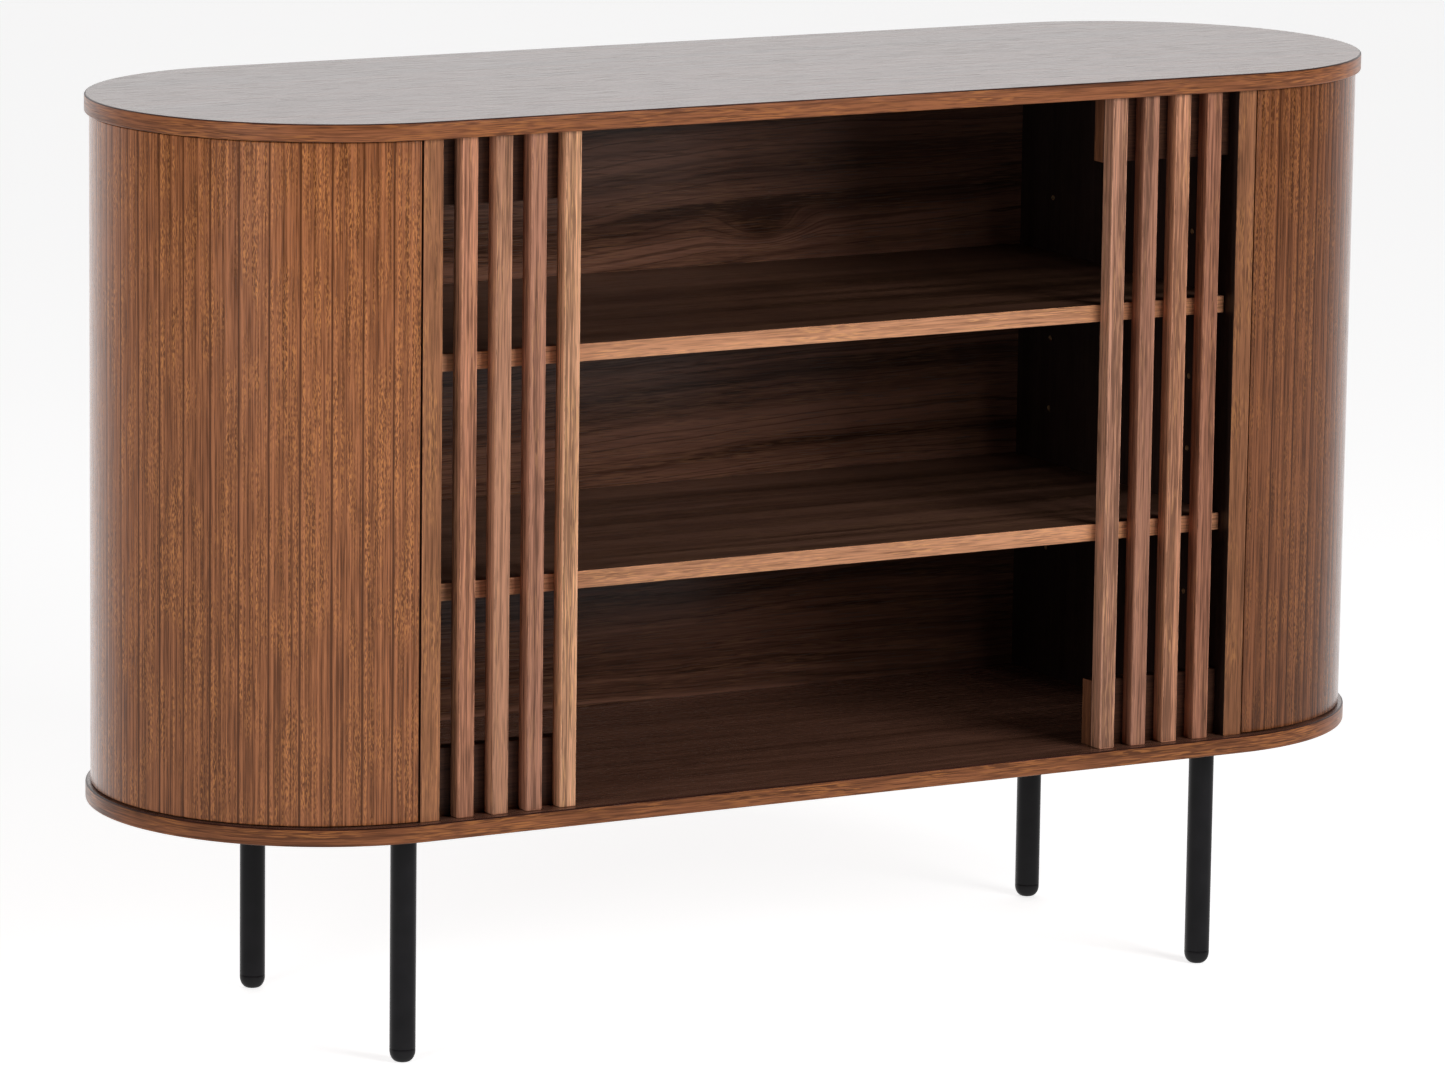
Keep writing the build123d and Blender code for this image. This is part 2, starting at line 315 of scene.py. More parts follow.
def shades_of(middle, depth, lift):
    """Dark, middle and light shade of one wood."""
    return scaled(middle, 1 - depth, 1.08), middle, scaled(middle, 1 + lift, 0.94)


def wood(name, middle, depth=0.45, lift=0.50, spread=0.10, shine=0.34, gloss=0.45, rings=None,
         knot=None, veneer=False, fleck=0.4, tick=0.07, broad=0.30, band_rate=52.0,
         wander=1.5 * MM):
    """Walnut under satin lacquer.

    depth and lift set the dark and light shade, spread how soft the change between them is.
    shine is the roughness of the lacquer, gloss how strongly it reflects.
    rings gives pitch, swirl, weight and line strength of growth rings; knot is one knot in them.
    veneer adds the stripes of a reconstituted sheet.
    fleck is the strength of the short light and dark dashes, tick how fast they change along the grain.
    broad is the share of wide bands in the figure, band_rate their number per metre.
    wander is how far the streaks stray sideways.
    """
    graph = Graph(name)
    grain = Grain(graph, wander)
    dark, middle, light = shades_of(middle, depth, lift)

    # Layers of grain, the first number is streaks per metre across it
    bands = grain.streaks(band_rate, 0.022, 1.7)
    lines = grain.streaks(360.0, 0.014, 4.1, detail=3.0, roughness=0.6)
    fibres = grain.streaks(700.0, 0.03, 7.9, detail=2.0, roughness=0.6)
    flecks = grain.streaks(1400.0, tick, 19.3, detail=0.0)
    columns = graph.window(grain.streaks(420.0, 0.012, 51.3, detail=1.0), 0.30, 0.58)
    mottle = grain.streaks(40.0, 0.4, 27.7, detail=1.0)
    pores = graph.window(grain.streaks(1000.0, 0.03, 12.3, detail=1.0), 0.57, 0.68)

    # The main figure
    mixed = graph.weighted((bands, broad), (lines, 0.36), (fibres, 0.64 - broad))
    shown = graph.times(graph.window(mottle, 0.30, 0.62), graph.times(columns, fleck))
    if veneer:
        profile = grain.repeat_profile()
        mixed = graph.weighted((mixed, 0.52), (grain.repeated(21.0, 3.0, 2.6), 0.24), (profile, 0.24))
        shown = graph.times(shown, graph.window(profile, 0.10, 0.75))
    if rings:
        pitch, swirl, weight, line_strength = rings
        ring_bands, ring_lines = grain.rings(pitch, swirl, 5.5, knot)
        mixed = graph.weighted((mixed, 1 - 0.6 * weight), (ring_bands, 0.6 * weight))
    colour = graph.ramp(mixed, (0.5 - spread, dark), (0.5, middle), (0.5 + spread, light))

    # Dark lines on top of it: growth rings, the heart of the knot, glue joints, open pores
    if rings:
        colour = graph.mix(graph.times(ring_lines, line_strength), colour, scaled(dark, 0.75))
    if knot:
        heart = grain.closeness(knot[0], knot[1], knot[2] * 0.55, knot[3] * 0.40)
        colour = graph.mix(graph.times(heart, 0.85), colour, scaled(dark, 0.9))
    if veneer:
        broken = graph.window(grain.streaks(11.0, 0.9, 41.9), 0.22, 0.58)
        joint = graph.times(graph.window(profile, 0.34, 0.10), broken)
        colour = graph.mix(graph.times(joint, 0.5), colour, scaled(dark, 0.65))
    colour = graph.mix(graph.times(pores, 0.5), colour, scaled(dark, 0.6))

    # Short light and dark dashes, and lighter wood on the arrises: partly wear, partly a painted
    # highlight along the rounded edges
    light_dashes = graph.times(graph.window(flecks, 0.50, 0.62), shown)
    dark_dashes = graph.times(graph.window(flecks, 0.42, 0.32), shown)
    colour = graph.mix(light_dashes, colour, golden(light, 1.38))
    colour = graph.mix(dark_dashes, colour, dark)
    # Lighter arrises: partly wear, partly a painted highlight where the rounded edges catch the light
    wear_and_highlight = graph.node("ShaderNodeAttribute", attribute_name="wear_and_highlight").outputs["Fac"]
    arris_patches = grain.streaks(60.0, 0.6, 33.1, detail=3.0, roughness=0.7)
    colour = graph.mix(graph.times(wear_and_highlight, graph.window(arris_patches, 0.44, 0.60)), colour, scaled(light, 1.15))

    height = graph.weighted((fibres, 0.6), (pores, -0.8))
    graph.bump(height, 0.07 * MM, 0.5)
    rough = graph.weighted((lines, 0.10), (pores, 0.08))
    return graph.finish(colour, graph.add(rough, shine - 0.05), Specular_IOR_Level=gloss)


SLAT_TONES = {
    "left": (tone(202, 138, 107), tone(188, 134, 105), tone(181, 126, 101), tone(229, 169, 131)),
    "right": (tone(168, 112, 87), tone(205, 143, 111), tone(166, 115, 92), tone(199, 143, 116)),
}


# Knot in the back panel, at x and z, its half width and half height, and how far the figure bends
KNOT_PLACE = (118 * MM, 634 * MM)
KNOT_SIZE = (70 * MM, 28 * MM)
KNOT_BEND = 1.35


def back_knot():
    """The knot in the grain coordinates of the back panel's front face."""
    start_u, start_v = grain_start("figured_back_panel")
    x, z = KNOT_PLACE
    half_width, half_height = KNOT_SIZE
    return z + start_u + FACE_SHIFT, x + start_v, half_height, half_width, KNOT_BEND


def edge_band(name, middle):
    """The edge band round the top and bottom panels."""
    return wood(name, middle, fleck=0.7, depth=0.5, tick=0.05, spread=0.075)


def partition_edge(name, middle):
    """The edge band on the front and rear edges of a partition."""
    return wood(name, middle, fleck=0.5, depth=0.5, tick=0.10)


def end_veneer_and_light(name, middle):
    """The reconstituted veneer of the curved ends; each end has a tone of its own, lighter at the left
    and darker at the right as painted light and shade.
    """
    return wood(
        name, middle, depth=0.52, lift=0.50, spread=0.065, veneer=True,
        fleck=0.9, tick=0.20, broad=0.14, wander=0.7 * MM, shine=0.22,
    )


def make_woods():
    """Every wood finish of the cabinet."""
    woods = {
        # The left end is given a lighter tone and the right end a darker one: painted light and shade,
        # not a difference in the veneer
        "left_end_veneer_and_light": end_veneer_and_light("left_end_veneer_and_light", tone(159, 99, 64)),
        "right_end_veneer_and_light": end_veneer_and_light("right_end_veneer_and_light", tone(127, 77, 49)),
        "top_veneer": wood(
            "top_veneer", tone(112, 76, 61), shine=0.26, gloss=0.5, fleck=0.15,
            rings=(14 * MM, 5.0, 0.4, 0.3),
        ),
        "top_edge_band": edge_band("top_edge_band", tone(138, 83, 52)),
        "bottom_edge_band": edge_band("bottom_edge_band", tone(145, 88, 55)),
        # Dark wood along the top arris of each panel: painted shade where the rim rounds over from the
        # top to the front
        "rim_painted_shade": wood("rim_painted_shade", tone(66, 38, 34), fleck=0.2, gloss=0.2),
        "interior_veneer": wood(
            "interior_veneer", tone(109, 74, 59), depth=0.70, lift=0.65, shine=0.22, gloss=0.5,
            rings=(15 * MM, 7.0, 1.0, 0.55), knot=back_knot(), fleck=0.3, tick=0.04,
        ),
        "shelf_veneer": wood(
            "shelf_veneer", tone(100, 70, 56), depth=0.6, lift=0.7, spread=0.08, shine=0.34, gloss=0.3,
            broad=0.55, band_rate=27.0, rings=(24 * MM, 1.0, 0.7, 0.4),
        ),
        "shelf_edge": wood("shelf_edge", tone(206, 145, 108), fleck=0.35, depth=0.42, lift=0.3),
        # The inner faces of the partitions are darkened to near black: painted shade of the closed-in
        # compartments
        "partition_inside": wood("partition_inside", tone(46, 33, 30), shine=0.34, gloss=0.25),
        "left_partition_edge": partition_edge("left_partition_edge", tone(166, 110, 76)),
        "right_partition_edge": partition_edge("right_partition_edge", tone(142, 92, 62)),
        # The rail faces are darker than their own walnut: partly their tone, partly painted shade from
        # the slats in front; the ends keep the lighter rail_end tone
        "rail_wood": wood("rail_wood", tone(70, 43, 31), fleck=0.4),
        "rail_end": wood("rail_end", tone(112, 70, 48), fleck=0.5),
        "raw_board": wood("raw_board", tone(150, 118, 86), shine=0.8, gloss=0.2),
        "plywood": wood("plywood", tone(190, 158, 114), shine=0.6, gloss=0.3, depth=0.2, lift=0.15),
        "beech_dowel": wood(
            "beech_dowel", tone(198, 160, 114), shine=0.6, gloss=0.3, depth=0.2, lift=0.15,
        ),
    }
    for side_name, tones in SLAT_TONES.items():
        for number, middle in zip(SLAT_NUMBERS, tones):
            name = f"{side_name}_slat_wood_{number}"
            woods[name] = wood(
                name, middle, depth=0.56, lift=0.34, spread=0.06, fleck=0.3, tick=0.05,
                rings=(6 * MM, 1.3, 0.45, 0.35), wander=0.9 * MM,
            )
    return woods


# ---------------------------------------------------------------- metal and plastic

CLOUD_SCALE = 45.0


def speckled(name, dark, light, rough, grain_scale, relief, metallic=0.0):
    """A sprayed, moulded or plated surface: fine grain, faint clouds, uneven sheen."""
    graph = Graph(name)
    place = graph.node("ShaderNodeTexCoord").outputs["Object"]
    grain = graph.noise(place, detail=3.0, scale=grain_scale)
    cloud = graph.noise(place, detail=2.0, scale=CLOUD_SCALE)
    colour = graph.ramp(graph.weighted((grain, 0.5), (cloud, 0.5)), (0.38, dark), (0.62, light))
    graph.bump(grain, relief, 0.35)
    sheen = graph.weighted((grain, 0.14), (cloud, 0.10))
    return graph.finish(colour, graph.add(sheen, rough - 0.12), Metallic=metallic)


def make_hard_finishes():
    """Powder coat, moulded plastic, bright zinc and black oxide."""
    return {
        "black_metal": speckled(
            "black_metal", tone(21, 20, 22), tone(35, 33, 36), 0.46, 2600.0, 0.05 * MM,
        ),
        "black_plastic": speckled(
            "black_plastic", tone(24, 23, 25), tone(38, 36, 38), 0.52, 1800.0, 0.04 * MM,
        ),
        "zinc_steel": speckled(
            "zinc_steel", tone(150, 150, 148), tone(196, 196, 192), 0.30, 900.0, 0.02 * MM, metallic=1.0,
        ),
        "black_screw": speckled(
            "black_screw", tone(34, 34, 36), tone(58, 58, 60), 0.42, 900.0, 0.02 * MM, metallic=1.0,
        ),
    }


# ---------------------------------------------------------------- meshes

def new_object(name, mesh_data, materials):
    """Turn a bmesh into an object with its materials."""
    mesh = bpy.data.meshes.new(name)
    mesh_data.to_mesh(mesh)
    mesh_data.free()
    for material in materials:
        mesh.materials.append(material)
    made = bpy.data.objects.new(name, mesh)
    bpy.context.scene.collection.objects.link(made)
    return made


def grain_start(name):
    """Where on an endless sheet of veneer a board was cut, the same on each run."""
    draw = random.Random(name)
    return draw.uniform(-SHEET_REACH, SHEET_REACH), draw.uniform(-SHEET_REACH, SHEET_REACH)


def board(name, low, high, materials, grain, radius=BOARD_ROUND, face_slot=None, wear_and_highlight=0.0):
    """A board with rounded edges whose grain runs along axis 0, 1 or 2.

    face_slot picks a material by face direction, such as {"-y": 1}; the last argument lightens the
    arrises: partly wear, partly a painted highlight.
    """
    data = bmesh.new()
    bmesh.ops.create_cube(data, size=1.0)
    size = [b - a for a, b in zip(low, high)]
    middle = [(a + b) / 2 for a, b in zip(low, high)]
    bmesh.ops.scale(data, vec=size, verts=data.verts)
    bmesh.ops.translate(data, vec=middle, verts=data.verts)
    bmesh.ops.bevel(
        data, geom=list(data.edges), offset=radius, offset_type="OFFSET",
        segments=3, profile=0.5, affect="EDGES", clamp_overlap=True,
    )
    flats = set(sorted(data.faces, key=lambda face: face.calc_area(), reverse=True)[:6])
    grain_layer = data.loops.layers.uv.new("grain")
    arris_lightening_layer = data.loops.layers.float_color.new("wear_and_highlight")
    start_u, start_v = grain_start(name)
    for face in data.faces:
        face.smooth = face not in flats
        normal = face.normal
        axis = max(range(3), key=lambda i: abs(normal[i]))
        key = ("-" if normal[axis] < 0 else "+") + "xyz"[axis]
        run = grain if grain != axis else (grain + 2) % 3
        cross = ({0, 1, 2} - {axis, run}).pop()
        face.material_index = (face_slot or {}).get(key, 0)
        # Only the rounded arris faces are lightened: partly wear, partly a painted highlight
        shown_arris_lightening = wear_and_highlight if face not in flats else 0.0
        for loop in face.loops:
            place = loop.vert.co
            loop[grain_layer].uv = (place[cross] + start_u + FACE_SHIFT * axis, place[run] + start_v)
            loop[arris_lightening_layer] = (shown_arris_lightening, shown_arris_lightening, shown_arris_lightening, 1.0)
    return new_object(name, data, materials)


def stadium_outline(half_straight, radius, steps):
    """Points and outward normals round a shape with half-round ends, from the rear left corner."""
    points = []
    for centre_x, start in ((-half_straight, math.pi / 2), (half_straight, -math.pi / 2)):
        for index in range(steps + 1):
            angle = start + math.pi * index / steps
            nx, ny = math.cos(angle), math.sin(angle)
            points.append((centre_x + radius * nx, radius * ny, nx, ny))
    return points


def stadium_board(name, low, high, materials, rim):
    """Panel with half-round ends: veneered faces, edge band, and a dark painted shade line along the top
    arris.
    """
    radius = (high.y - low.y) / 2
    outline = stadium_outline((high.x - low.x) / 2 - radius, radius, ARC_STEPS)
    rounding = [math.pi / 2 * index / RIM_STEPS for index in range(RIM_STEPS + 1)]
    profile = [(rim * (1 - math.sin(a)), low.z + rim * (1 - math.cos(a))) for a in rounding]
    profile += [(rim * (1 - math.cos(a)), high.z - rim * (1 - math.sin(a))) for a in rounding]
    data = bmesh.new()
    layer = data.loops.layers.uv.new("grain")
    start_u, start_v = grain_start(name)
    rings = [
        [data.verts.new((x - nx * inset, y - ny * inset, z)) for x, y, nx, ny in outline]
        for inset, z in profile
    ]
    count = len(outline)
    run = [0.0]
    for index in range(count):
        here, there = outline[index], outline[(index + 1) % count]
        run.append(run[-1] + math.hypot(there[0] - here[0], there[1] - here[1]))
    for level in range(len(rings) - 1):
        for index in range(count):
            after = (index + 1) % count
            corners = (
                (rings[level][index], run[index], profile[level][1]),
                (rings[level][after], run[index + 1], profile[level][1]),
                (rings[level + 1][after], run[index + 1], profile[level + 1][1]),
                (rings[level + 1][index], run[index], profile[level + 1][1]),
            )
            face = data.faces.new([corner[0] for corner in corners])
            face.smooth = True
            # The top rows of the rim take the painted shade line
            face.material_index = 2 if level > len(rings) - 2 - RIM_SHADE_ROWS else 1
            for loop, (_, along, height) in zip(face.loops, corners):
                loop[layer].uv = (height + start_v, along + start_u)
    for ring in (list(reversed(rings[0])), rings[-1]):
        face = data.faces.new(ring)
        for loop in face.loops:
            loop[layer].uv = (loop.vert.co.y + start_u, loop.vert.co.x + start_v)
    return new_object(name, data, materials)


def curved_board(name, side, low, high, thickness, seam, materials):
    """Half-round board: a rounded section swept from the front edge to the rear edge."""
    radius = (high.y - low.y) / 2
    centre_x = low.x if side > 0 else high.x
    bottom, top = low.z + SHELL_GAP, high.z - SHELL_GAP
    section = []
    corners = (
        (radius - SHELL_ROUND, bottom + SHELL_ROUND, -90),
        (radius - SHELL_ROUND, top - SHELL_ROUND, 0),
        (radius - thickness + SHELL_ROUND, top - SHELL_ROUND, 90),
        (radius - thickness + SHELL_ROUND, bottom + SHELL_ROUND, 180),
    )
    for r, z, start in corners:
        for index in range(CORNER_STEPS + 1):
            angle = math.radians(start + 90 * index / CORNER_STEPS)
            section.append((r + SHELL_ROUND * math.cos(angle), z + SHELL_ROUND * math.sin(angle)))
    data = bmesh.new()
    layer = data.loops.layers.uv.new("grain")
    start_u, start_v = grain_start(name)
    steps = 2 * ARC_STEPS
    seam_angle = seam / radius
    rings = []
    ease = (0.0, 0.25, 0.6, 1.0)
    end_turn = SHELL_ROUND / radius
    full_from = seam_angle + end_turn
    angles = [seam_angle + end_turn * part for part in ease]
    angles += [full_from + (math.pi - 2 * full_from) * index / steps for index in range(1, steps)]
    angles += [math.pi - seam_angle - end_turn * part for part in reversed(ease)]
    mid_r = radius - thickness / 2
    for order, angle in enumerate(angles):
        near = min(order, len(angles) - 1 - order)
        shrink = 0.0
        if near < len(ease):
            shrink = SHELL_ROUND * (1 - math.sqrt(1 - (1 - ease[near]) ** 2))
        ring = []
        for r, z in section:
            inner = r - math.copysign(min(shrink, abs(r - mid_r)), r - mid_r)
            ring.append(data.verts.new((
                centre_x + side * inner * math.sin(angle), -inner * math.cos(angle), z,
            )))
        rings.append(ring)
    count = len(section)
    for order in range(len(rings) - 1):
        for index in range(count):
            after = (index + 1) % count
            corners = [
                (rings[order][index], angles[order]),
                (rings[order][after], angles[order]),
                (rings[order + 1][after], angles[order + 1]),
                (rings[order + 1][index], angles[order + 1]),
            ]
            if side < 0:
                corners.reverse()
            face = data.faces.new([corner[0] for corner in corners])
            face.smooth = True
            for loop, (vert, angle) in zip(face.loops, corners):
                loop[layer].uv = (angle * radius, vert.co.z + start_v)
    first, last = rings[0], rings[-1]
    caps = (list(reversed(first)), last) if side > 0 else (first, list(reversed(last)))
    for cap in caps:
        face = data.faces.new(cap)
        for loop in face.loops:
            loop[layer].uv = (loop.vert.co.y + start_u, loop.vert.co.z + start_v)
    return new_object(name, data, materials)


def turned(name, centre, profile, materials):
    """A turned piece; profile lists radius and height from the lowest point up."""
    data = bmesh.new()
    rings = []
    for radius, height in profile:
        around = [0.0]
        if radius:
            around = [2 * math.pi * index / TURN_STEPS for index in range(TURN_STEPS)]
        rings.append([
            data.verts.new((centre[0] + radius * math.cos(a), centre[1] + radius * math.sin(a), height))
            for a in around
        ])
    for lower, upper in zip(rings, rings[1:]):
        for index in range(TURN_STEPS):
            after = (index + 1) % TURN_STEPS
            if len(lower) == 1:
                corners = [lower[0], upper[after], upper[index]]
            elif len(upper) == 1:
                corners = [lower[index], lower[after], upper[0]]
            else:
                corners = [lower[index], lower[after], upper[after], upper[index]]
            data.faces.new(corners).smooth = True
    return new_object(name, data, materials)


def drill(piece, places, axis, diameter, depth, material):
    """Blind round holes at the places; each starts on the surface and runs along the axis."""
    data = bmesh.new()
    overlap = 1 * MM
    for place in places:
        made = bmesh.ops.create_cone(
            data, cap_ends=True, segments=HOLE_SEGMENTS, radius1=diameter / 2,
            radius2=diameter / 2, depth=depth + overlap,
        )
        turn = Vector(axis).to_track_quat("Z", "Y").to_matrix()
        bmesh.ops.rotate(data, verts=made["verts"], matrix=turn)
        middle = Vector(place) + Vector(axis) * (depth - overlap) / 2
        bmesh.ops.translate(data, verts=made["verts"], vec=middle)
    cutter = new_object("drill", data, [material])
    modifier = piece.modifiers.new("holes", "BOOLEAN")
    modifier.operation = "DIFFERENCE"
    modifier.solver = "EXACT"
    modifier.material_mode = "TRANSFER"
    modifier.object = cutter
    evaluated = piece.evaluated_get(bpy.context.evaluated_depsgraph_get())
    drilled = bpy.data.meshes.new_from_object(evaluated)
    piece.modifiers.clear()
    piece.data = drilled
    bpy.data.objects.remove(cutter)


def stand_for(piece, node):
    """The piece replaces one CAD node and moves with its body."""
    body = next(name for name, nodes in frame["record"]["behaviour"]["bodies"].items() if node in nodes)
    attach(piece, body)
    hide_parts(node)


# ---------------------------------------------------------------- pieces

def build_panels(woods):
    """The top and bottom panels with their edge bands."""
    for level in LEVELS:
        node = level + "_panel"
        low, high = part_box(node)
        finishes = [woods["top_veneer"], woods[level + "_edge_band"], woods["rim_painted_shade"]]
        piece = stadium_board("walnut_" + node, low, high, finishes, RIM_ROUND)
        stand_for(piece, node)


def build_curved_ends(woods):
    """The bent boards that wrap the two ends."""
    for side_name, side in SIDES.items():
        node = side_name + "_curved_end"
        low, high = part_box(node)
        seam = SEAM_GAPS[side_name]
        # Each end's tone carries painted light and shade
        finish = woods[side_name + "_end_veneer_and_light"]
        piece = curved_board("veneered_" + node, side, low, high, SHELL_THICKNESS, seam, [finish])
        stand_for(piece, node)


def build_partitions(woods):
    """The two uprights, drilled for the shelf supports; the lower shelf's pins give the rows."""
    pins_low, pins_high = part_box("lower_shelf_pins")
    pin_radius = HOLE_DIAMETER / 2
    first_row_z = pins_low.z + pin_radius - LOWER_SHELF_ROW * HOLE_PITCH
    hole_ys = (pins_low.y + pin_radius, pins_high.y - pin_radius)
    for side_name, side in SIDES.items():
        node = side_name + "_partition"
        low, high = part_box(node)
        # The inner faces carry painted shade
        finishes = [woods["partition_inside"], woods[side_name + "_partition_edge"]]
        piece = board(
            "veneered_" + node, low, high, finishes,
            grain=2, face_slot={"-y": 1, "+y": 1}, wear_and_highlight=0.4,
        )
        inner_x = low.x if side > 0 else high.x
        rows = [first_row_z + row * HOLE_PITCH for row in range(HOLE_ROWS)]
        holes = [(inner_x, y, z) for z in rows for y in hole_ys]
        drill(piece, holes, (side, 0, 0), HOLE_DIAMETER, HOLE_DEPTH, woods["raw_board"])
        stand_for(piece, node)


def build_inside(woods):
    """The back panel and the two shelves."""
    low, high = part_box("back_panel")
    piece = board("figured_back_panel", low, high, [woods["interior_veneer"]], grain=0)
    stand_for(piece, "back_panel")
    for node in ("upper_shelf", "lower_shelf"):
        low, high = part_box(node)
        piece = board(
            "veneered_" + node, low, high, [woods["shelf_veneer"], woods["shelf_edge"]],
            grain=0, face_slot={"-y": 1}, wear_and_highlight=0.4,
        )
        stand_for(piece, node)


def build_screens(woods):
    """The slats and the rails behind them."""
    for side_name in SIDES:
        for number in SLAT_NUMBERS:
            node = f"{side_name}_slat_{number}"
            low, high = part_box(node)
            piece = board(
                "walnut_" + node, low, high, [woods[f"{side_name}_slat_wood_{number}"]],
                grain=2, radius=SLAT_ROUND, wear_and_highlight=0.7,
            )
            stand_for(piece, node)
        for level in LEVELS:
            node = f"{side_name}_{level}_rail"
            low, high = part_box(node)
            piece = board(
                # The rail faces carry painted shade from the slats
                "walnut_" + node, low, high, [woods["rail_wood"], woods["rail_end"]],
                grain=0, face_slot={"-x": 1, "+x": 1}, wear_and_highlight=0.4,
            )
            stand_for(piece, node)


def build_feet(plastic):
    """Domed caps with a fine step where they meet the tube."""
    for end in ENDS:
        for side_name in SIDES:
            node = f"{end}_{side_name}_foot_cap"
            low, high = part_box(node)
            radius = (high.x - low.x) / 2
            centre = ((low.x + high.x) / 2, (low.y + high.y) / 2)
            tube_low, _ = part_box(f"{end}_{side_name}_leg")
            joint = tube_low.z
            neck = radius - FOOT_STEP
            profile = [(0.0, 0.0), (FOOT_FLAT, 0.0)]
            for index in range(1, DOME_STEPS + 1):
                angle = math.pi / 2 * index / DOME_STEPS
                reach = FOOT_FLAT + (radius - FOOT_FLAT) * math.sin(angle)
                profile.append((reach, FOOT_DOME * (1 - math.cos(angle))))
            profile += [
                (radius, joint - 2 * FOOT_STEP), (neck, joint - FOOT_STEP), (neck, joint), (0.0, joint),
            ]
            piece = turned("domed_" + node, centre, profile, [plastic])
            stand_for(piece, node)


def paint_cad_nodes(woods, hard):
    """Finishes of the CAD nodes whose own shape is already right."""
    finishes = dict(hard, plywood=woods["plywood"], beech_dowel=woods["beech_dowel"])
    for part in frame["record"]["subparts"]:
        finish = finishes.get(part["material_slot"])
        if finish:
            mesh = frame["nodes"][part["node"]].data
            mesh.materials.clear()
            mesh.materials.append(finish)


# ---------------------------------------------------------------- studio

# Turn of the bright backdrop, from straight behind the cabinet towards its right end
STUDIO_TURN = 0.37

# The camera's place, turn, tilt and roll in metres and radians, and its lens and sensor in mm
CAMERA_PLACE = (-3.24429, -5.73201, 1.61866)
CAMERA_YAW = 0.51341
CAMERA_PITCH = 0.18494
CAMERA_ROLL = 0.01325
CAMERA_LENS = 191.91
CAMERA_SENSOR = 36.0

# Where the soft boxes point
LIGHT_TARGET = Vector((0, 0, 0.5))

FLOOR_REACH = 30.0
FLOOR_GLOW = 0.7


def make_floor():
    """A plain pale floor that the cabinet doesn't pick up colour or reflections from."""
    graph = Graph("studio_floor")
    place = graph.node("ShaderNodeTexCoord").outputs["Object"]
    cloud = graph.noise(place, detail=2.0, scale=0.6)
    colour = graph.ramp(cloud, (0.3, (0.84, 0.84, 0.84, 1)), (0.7, (0.87, 0.87, 0.87, 1)))
    material = graph.finish(
        colour, 0.9, Specular_IOR_Level=0.1, Emission_Color=(1, 1, 1, 1), Emission_Strength=FLOOR_GLOW,
    )
    data = bmesh.new()
    bmesh.ops.create_grid(data, x_segments=1, y_segments=1, size=FLOOR_REACH)
    floor = new_object("studio_floor", data, [material])
    floor.visible_diffuse = False
    floor.visible_glossy = False


# Brightness of the room from in front of the cabinet (0) past its sides (0.5) to behind it (1)
BRIGHTEST = 1.32
ROOM_LEVELS = (
    (0.0, 0.0), (0.52, 0.01), (0.60, 0.06), (0.70, 0.30),
    (0.79, 0.66), (0.88, 1.00), (0.95, 1.26), (1.0, BRIGHTEST),
)

# Brightness of the floor all round, and the heights of view between which it fades out
FLOOR_LEVEL = 0.38
FLOOR_FADE = (-0.12, 0.06)


def make_world():
    """A soft studio: bright paper behind the cabinet, a dark room in front, a lit floor all round."""
    world = bpy.data.worlds.new("studio")
    bpy.context.scene.world = world
    world.use_nodes = True
    tree = world.node_tree
    background = tree.nodes["Background"]
    place = tree.nodes.new("ShaderNodeTexCoord").outputs["Generated"]
    behind = tree.nodes.new("ShaderNodeVectorMath")
    behind.operation = "DOT_PRODUCT"
    behind.inputs[1].default_value = (math.sin(STUDIO_TURN) / 2, math.cos(STUDIO_TURN) / 2, 0.0)
    tree.links.new(place, behind.inputs[0])
    shifted = tree.nodes.new("ShaderNodeMath")
    shifted.inputs[1].default_value = 0.5
    tree.links.new(behind.outputs["Value"], shifted.inputs[0])
    room = tree.nodes.new("ShaderNodeValToRGB")
    room.color_ramp.interpolation = "EASE"
    elements = room.color_ramp.elements
    while len(elements) < len(ROOM_LEVELS):
        elements.new(0.5)
    for element, (position, brightness) in zip(elements, ROOM_LEVELS):
        shade = brightness / BRIGHTEST
        element.position = position
        element.color = (shade, shade * 0.985, shade * 0.985, 1.0)
    tree.links.new(shifted.outputs[0], room.inputs["Fac"])
    height = tree.nodes.new("ShaderNodeSeparateXYZ")
    tree.links.new(place, height.inputs[0])
    floor = tree.nodes.new("ShaderNodeMapRange")
    floor.interpolation_type = "SMOOTHSTEP"
    floor.inputs["From Min"].default_value = FLOOR_FADE[0]
    floor.inputs["From Max"].default_value = FLOOR_FADE[1]
    floor.inputs["To Min"].default_value = FLOOR_LEVEL / BRIGHTEST
    floor.inputs["To Max"].default_value = 0.0
    tree.links.new(height.outputs["Z"], floor.inputs["Value"])
    either = tree.nodes.new("ShaderNodeMix")
    either.data_type = "RGBA"
    either.blend_type = "LIGHTEN"
    either.inputs[0].default_value = 1.0
    tree.links.new(room.outputs["Color"], either.inputs[6])
    tree.links.new(floor.outputs["Result"], either.inputs[7])
    tree.links.new(either.outputs[2], background.inputs["Color"])
    background.inputs["Strength"].default_value = BRIGHTEST


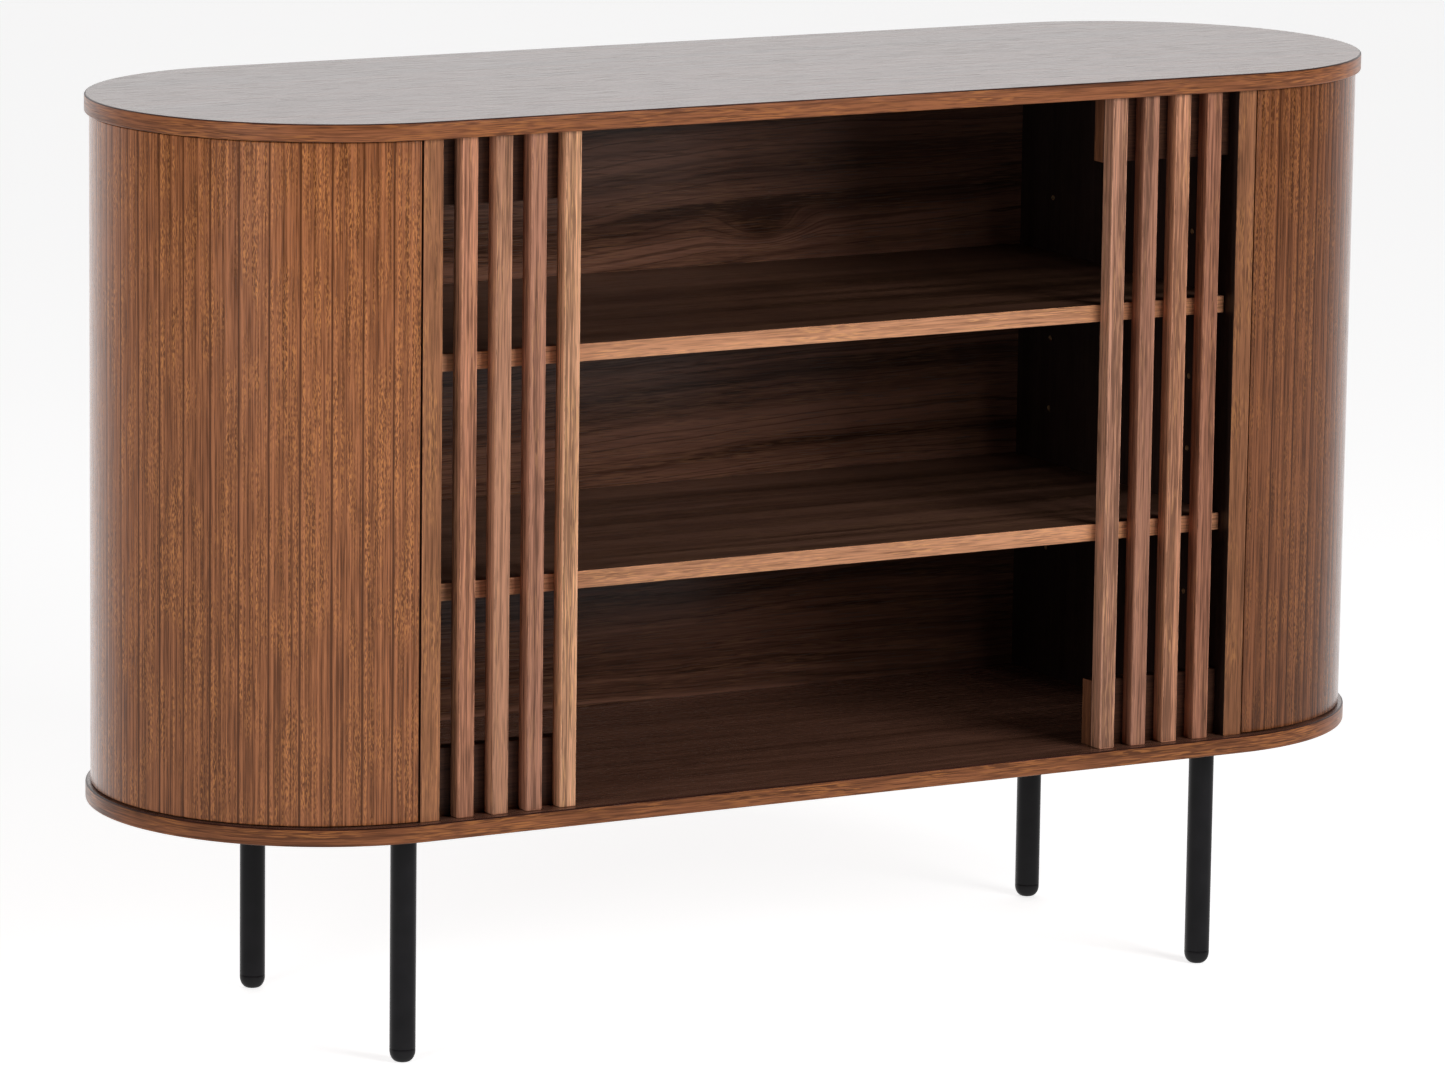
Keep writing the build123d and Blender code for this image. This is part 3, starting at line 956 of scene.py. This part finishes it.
def soft_box(name, azimuth, elevation, distance, size, power):
    """An area light aimed at the cabinet, which doesn't show as a reflection in the lacquer.

    azimuth is in degrees from straight in front, positive to the right.
    """
    light = bpy.data.lights.new(name, "AREA")
    light.shape = "RECTANGLE"
    light.size, light.size_y = size
    light.energy = power
    turn, rise = math.radians(azimuth), math.radians(elevation)
    away = Vector((math.sin(turn) * math.cos(rise), -math.cos(turn) * math.cos(rise), math.sin(rise)))
    made = bpy.data.objects.new(name, light)
    made.location = LIGHT_TARGET + distance * away
    made.rotation_mode = "QUATERNION"
    made.rotation_quaternion = away.to_track_quat("Z", "Y")
    made.visible_camera = False
    made.visible_glossy = False
    bpy.context.scene.collection.objects.link(made)


def make_lights():
    """A low box close to the left end, a large one in front, and a high one at the right."""
    soft_box("left_box", -66, 10, 1.95, (0.8, 0.8), 9.8)
    soft_box("front_box", 24, 19, 3.3, (1.5, 1.2), 62)
    soft_box("right_box", 45, 54, 3.3, (1.3, 1.3), 6)


def make_camera():
    """The viewpoint: a long lens, in front of the left end, looking down a little."""
    data = bpy.data.cameras.new("camera")
    data.sensor_width = CAMERA_SENSOR
    data.lens = CAMERA_LENS
    data.clip_end = 200.0
    made = bpy.data.objects.new("camera", data)
    made.location = CAMERA_PLACE
    ahead = Vector((
        math.sin(CAMERA_YAW) * math.cos(CAMERA_PITCH),
        math.cos(CAMERA_YAW) * math.cos(CAMERA_PITCH),
        -math.sin(CAMERA_PITCH),
    ))
    made.rotation_mode = "QUATERNION"
    made.rotation_quaternion = Quaternion(ahead, -CAMERA_ROLL) @ ahead.to_track_quat("-Z", "Y")
    bpy.context.scene.collection.objects.link(made)
    bpy.context.scene.camera = made


def main():
    woods = make_woods()
    hard = make_hard_finishes()
    build_panels(woods)
    build_curved_ends(woods)
    build_partitions(woods)
    build_inside(woods)
    build_screens(woods)
    build_feet(hard["black_plastic"])
    paint_cad_nodes(woods, hard)
    make_floor()
    make_world()
    make_lights()
    make_camera()
    bpy.context.scene.view_settings.view_transform = "Standard"


main()
